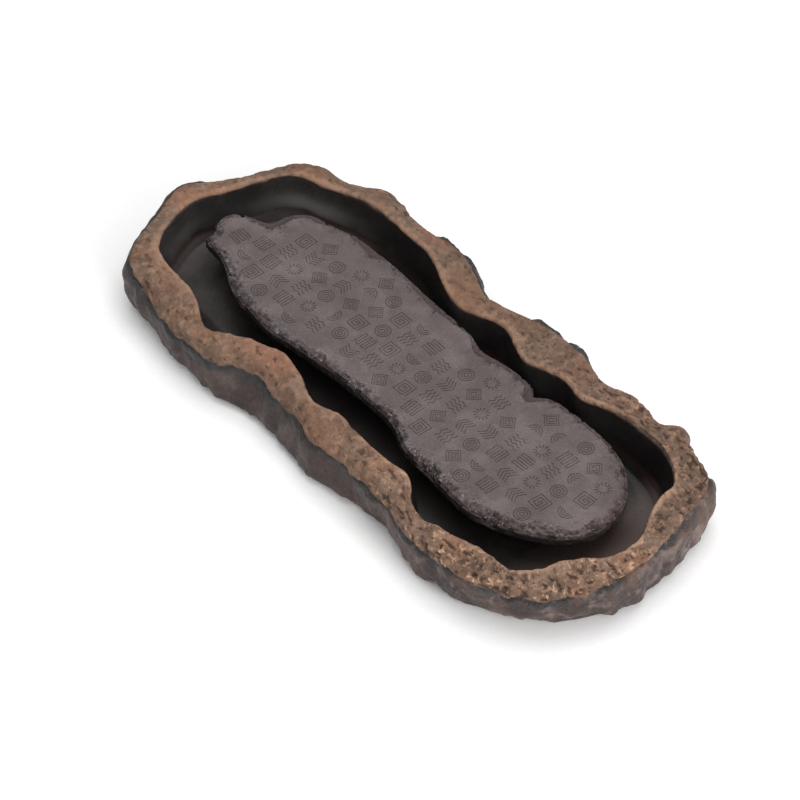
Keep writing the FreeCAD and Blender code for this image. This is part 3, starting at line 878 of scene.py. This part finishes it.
def motifCollection():
    collection = bpy.data.collections.new("slabMotifs")
    bpy.context.scene.collection.children.link(collection)
    for number, (name, lines) in enumerate(sorted(motifLines().items())):
        points, edges = [], []
        for line in lines:
            first = len(points)
            points += [(x, y, 0.0) for x, y in line]
            edges += [(first + k, first + k + 1) for k in range(len(line) - 1)]
            if name in ("lozenges", "rings"):
                edges.append((len(points) - 1, first))
        mesh = bpy.data.meshes.new("motif_%d_%s" % (number, name))
        mesh.from_pydata(points, edges, [])
        collection.objects.link(bpy.data.objects.new(mesh.name, mesh))
    return collection


def insideOutline(line, x, y):
    x0, y0 = line.T
    x1, y1 = np.roll(line, -1, axis=0).T
    crosses = (y0 > y) != (y1 > y)
    reach = x0 + (y - y0) * (x1 - x0) / np.where(y1 == y0, 1e-9, y1 - y0)
    return bool(np.sum(crosses & (x < reach)) % 2)


def markPlaces(line, motifCount):
    layout = markLayout
    draw = np.random.default_rng(layout["seed"])
    places, kinds, turns = [], [], []
    low, high = line.min(axis=0), line.max(axis=0)
    for column in range(int((high[0] - low[0]) / layout["pitchX"]) + 1):
        shift = 0.5 * layout["pitchY"] * (column % 2)
        for row in range(-layout["rows"], layout["rows"] + 1):
            x = low[0] + column * layout["pitchX"] + layout["start"]
            y = (low[1] + high[1]) / 2 + row * layout["pitchY"] + shift
            if insideOutline(line, x, y) and np.linalg.norm(line - (x, y), axis=1).min() > layout["edge"]:
                places.append((x * mm, y * mm, slabShape["top"] * mm))
                kind = row * layout["rowStep"] + column * layout["columnStep"]
                kinds.append((kind + int(draw.integers(layout["choice"]))) % motifCount)
                turns.append(float(draw.normal(0, layout["tilt"])) + math.pi / 2 * int(draw.integers(4)))
    marker = pointsObject("markPlaces", places)
    marker.data.attributes.new("motif", "INT", "POINT").data.foreach_set("value", kinds)
    marker.data.attributes.new("turn", "FLOAT", "POINT").data.foreach_set("value", turns)
    return marker


def makeSlab():
    shape = slabShape
    relief = shape["relief"]
    rows, topLine = slabRows()
    grid, place = steppedRows(np.array(rows), shape["steps"])

    # the broken edge has a flat ledge and steps up from it, it doesn't slope
    above = place - 2
    rise = sum(share * smoothStep(start, stop, above) for share, start, stop in shape["ledgeSteps"])
    stepped = shape["top"] - shape["ledgeDrop"] * (1 - rise)
    grid[..., 2] = np.where(above > 0, stepped, grid[:, 0, 2])[:, None]
    rings = [withHeight(drawnIn(topLine, inset), shape["top"]) for inset in shape["topInsets"]]
    grid = np.concatenate([grid, np.array(rings)])
    reach = np.concatenate([np.zeros(len(place)), np.array(shape["topInsets"])])
    place = np.concatenate([place, np.full(len(rings), 3.0)])
    hold = np.where((place == 0) | (reach > shape["softReach"]), 1.0, 0.0)
    grid = softened(grid, shape["softenPasses"], hold)
    normals = gridNormals(grid)
    row = np.broadcast_to(place[:, None], grid.shape[:2])
    inset = np.broadcast_to(reach[:, None], grid.shape[:2])
    side = normals[shape["sideRing"]]
    field = {name: lumps(grid, *lump) for name, lump in shape["lumps"].items()}
    big, medium, small = field["big"], field["medium"], field["small"]

    # rough, chipped edge, calmer on the ledge and worn down at the top
    edge = smoothStep(0.0, 0.6, row) * fadeOut(1.0, 7, inset + relief["edgeMedium"] * medium)
    width = np.linalg.norm((rows[2] - rows[3])[:, 0:2], axis=1)
    ledge = smoothStep(2.05, 2.2, row) * fadeOut(2.78, 2.92, row) * smoothStep(2, 4, width)
    chips = edge * smoothStep(0.16, 0.4, field["chips"]) * smoothStep(1.2, 2.4, row)
    chips = chips * (1 - relief["chipLedge"] * ledge)
    rough = relief["big"] * big + relief["medium"] * medium + relief["small"] * small
    raised = edge * (1 - relief["roughLedge"] * ledge) * rough - relief["chips"] * chips
    grid = grid + normals * raised[..., None]
    worn = smoothStep(2.4, 3.0, row) * np.clip(1 - inset / relief["wornReach"], 0, 1) ** 2
    grid[..., 2] -= worn * grown(*relief["worn"], medium)
    grid[..., 2] = np.minimum(grid[..., 2], shape["top"] + relief["edgeRise"] * edge)

    bitten = np.zeros(grid.shape[:2])
    for x, y, far, deep in shape["bites"]:
        ragged = np.hypot(grid[..., 0] - x, grid[..., 1] - y) / (far * grown(*relief["biteMedium"], medium))
        bite = np.exp(-ragged ** 4) * smoothStep(1.4, 2.2, row)
        grid[..., 2] -= deep * bite * grown(*relief["biteSmall"], small)
        grid[..., 1] += relief["biteBack"] * deep * bite
        bitten = np.maximum(bitten, bite)
    chips = np.maximum(chips, bitten)
    edge = np.maximum(edge, bitten)
    mesh = gridMesh("slab_clay", grid * mm)

    # the top's rough edge shows less where the side faces away
    away = fadeOut(-0.5, 0.3, 0.5 * side[:, 0] - 0.85 * side[:, 1])
    awayTop = 0.7 * smoothStep(2.9, 3.0, row) * away
    front = fadeOut(-0.3, 0.5, side[:, 1])
    shares = {
        "edgeShare": np.maximum(edge * (1 - awayTop), row < 2.5),
        "chipShare": chips,
        "ledgeShare": ledge,
        # painted shade on the sides that face the front, less in the bites
        "frontShare": front * (1 - 0.5 * bitten),
        "grainShare": front * fadeOut(3, 13, inset + 5 * medium) * smoothStep(2.4, 2.9, row),
    }
    for name, share in shares.items():
        setShare(mesh, name, share)
    piece = linked("slab_clay", mesh)
    low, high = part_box("slab_pad_1")
    legs = pointsObject("legPlaces", padPlaces("slab_pad_", shape["legFoot"]))
    motifs = motifCollection()
    marks = markPlaces(topLine, len(motifs.objects))
    made = applyTree(piece, slabTree(), {
        "Leg Places": legs, "Leg Radius": shape["legRadius"] * mm,
        "Leg Height": (shape["underLevel"] + shape["legRoot"] - shape["legFoot"]) * mm,
        "Seat Radius": (high.x - low.x) / 2 + shape["seatClearance"] * mm,
        "Seat Depth": shape["padRecess"] * mm, "Mark Places": marks, "Motifs": motifs,
        "Mark Size": markLayout["size"] * mm, "Stroke Width": markLayout["stroke"] * mm,
        "Mark Depth": markLayout["depth"] * mm, "Clay": materials["slab"]})
    print("slab marks:", len(marks.data.vertices))
    for spare in (legs, marks, *motifs.objects):
        bpy.data.objects.remove(spare)
    bpy.data.collections.remove(motifs)

    # legs and underside count as edge, the floors of the grooves as marks
    places = np.zeros(len(made.vertices) * 3)
    made.vertices.foreach_get("co", places)
    height = places[2::3] / mm
    onEdge = np.zeros(len(made.vertices))
    edgeValues = made.attributes["edgeShare"].data
    edgeValues.foreach_get("value", onEdge)
    edgeValues.foreach_set("value", np.maximum(onEdge, height < shape["underLevel"] + 0.1))
    grooves = (height > shape["top"] - 1) & (height < shape["top"] - 0.05) & (onEdge < 0.02)
    setShare(made, "markShare", grooves)
    return piece


basin = makeBasin()
slab = makeSlab()
for piece, shape in ((basin, basinShape), (slab, slabShape)):
    piece.data.polygons.foreach_set("use_smooth", [True] * len(piece.data.polygons))
    piece.data.set_sharp_from_angle(angle=math.radians(shape["creaseAngle"]))
    print(piece.name, "faces:", len(piece.data.polygons))

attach(basin, "basin")
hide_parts("tray_basin")
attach(slab, "slab")
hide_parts("tea_slab")

# Pads keep their CAD shape
for name, node in frame["nodes"].items():
    if "_pad_" in name:
        node.data.materials.clear()
        node.data.materials.append(materials["pad"])
print("pieces ride on their bodies")


# Studio

studio = {
    "azimuth": 50, "elevation": 45.5, "distance": 2, "lens": 171.3, "aim": (-0.00217, -0.00189, 0),
    "sensor": 36, "worldTone": (1, 1, 1, 1), "worldStrength": 0.7,
    "floorSize": 6, "floorTone": tone(250, 250, 250), "floorMottle": 0.08, "floorRough": 0.9,
    "paper": mottle((246, 246, 245), (248, 248, 247), (250, 250, 249), 3, 300),
    "softboxes": [
        {"name": "overheadSoftbox", "place": (-0.2, 0.3, 1.6), "size": 1.5, "power": 13},
        {"name": "sideSoftbox", "place": (1.7, -0.2, 0.8), "size": 1, "power": 20},
    ],
}


def aimed(name, data, place, way):
    # a light or a camera at the place, looking the given way
    made = linked(name, data)
    made.location = place
    made.rotation_mode = "QUATERNION"
    made.rotation_quaternion = way.to_track_quat("-Z", "Y")
    return made


def makeFloor():
    half = studio["floorSize"] / 2
    mesh = bpy.data.meshes.new("studioFloor")
    corners = [(-half, -half, 0), (half, -half, 0), (half, half, 0), (-half, half, 0)]
    mesh.from_pydata(corners, [], [(0, 1, 2, 3)])
    floor = linked("studioFloor", mesh)
    material, tree, shader, place = newMaterial("paleFloor")
    paper = placed(tree, clayMottle, Place=place, **studio["paper"])
    calm = blended(tree, studio["floorMottle"], studio["floorTone"], paper["Color"])
    tree.links.new(calm, shader.inputs["Base Color"])
    shader.inputs["Roughness"].default_value = studio["floorRough"]
    mesh.materials.append(material)


def makeLights():
    world = bpy.data.worlds.new("studioWorld")
    bpy.context.scene.world = world
    world.use_nodes = True
    background = world.node_tree.nodes["Background"]
    background.inputs["Color"].default_value = studio["worldTone"]
    background.inputs["Strength"].default_value = studio["worldStrength"]
    for box in studio["softboxes"]:
        light = bpy.data.lights.new(box["name"], "AREA")
        light.shape = "SQUARE"
        light.size = box["size"]
        light.energy = box["power"]
        aimed(box["name"], light, box["place"], -Vector(box["place"]))


def makeCamera():
    around = math.radians(studio["azimuth"])
    up = math.radians(studio["elevation"])
    back = Vector((math.sin(around) * math.cos(up), -math.cos(around) * math.cos(up), math.sin(up)))
    camera = bpy.data.cameras.new("photoCamera")
    camera.lens = studio["lens"]
    camera.sensor_width = studio["sensor"]
    eye = Vector(studio["aim"]) + back * studio["distance"]
    bpy.context.scene.camera = aimed("photoCamera", camera, eye, -back)


makeFloor()
makeLights()
makeCamera()
bpy.context.scene.view_settings.view_transform = "Standard"
print("studio ready")
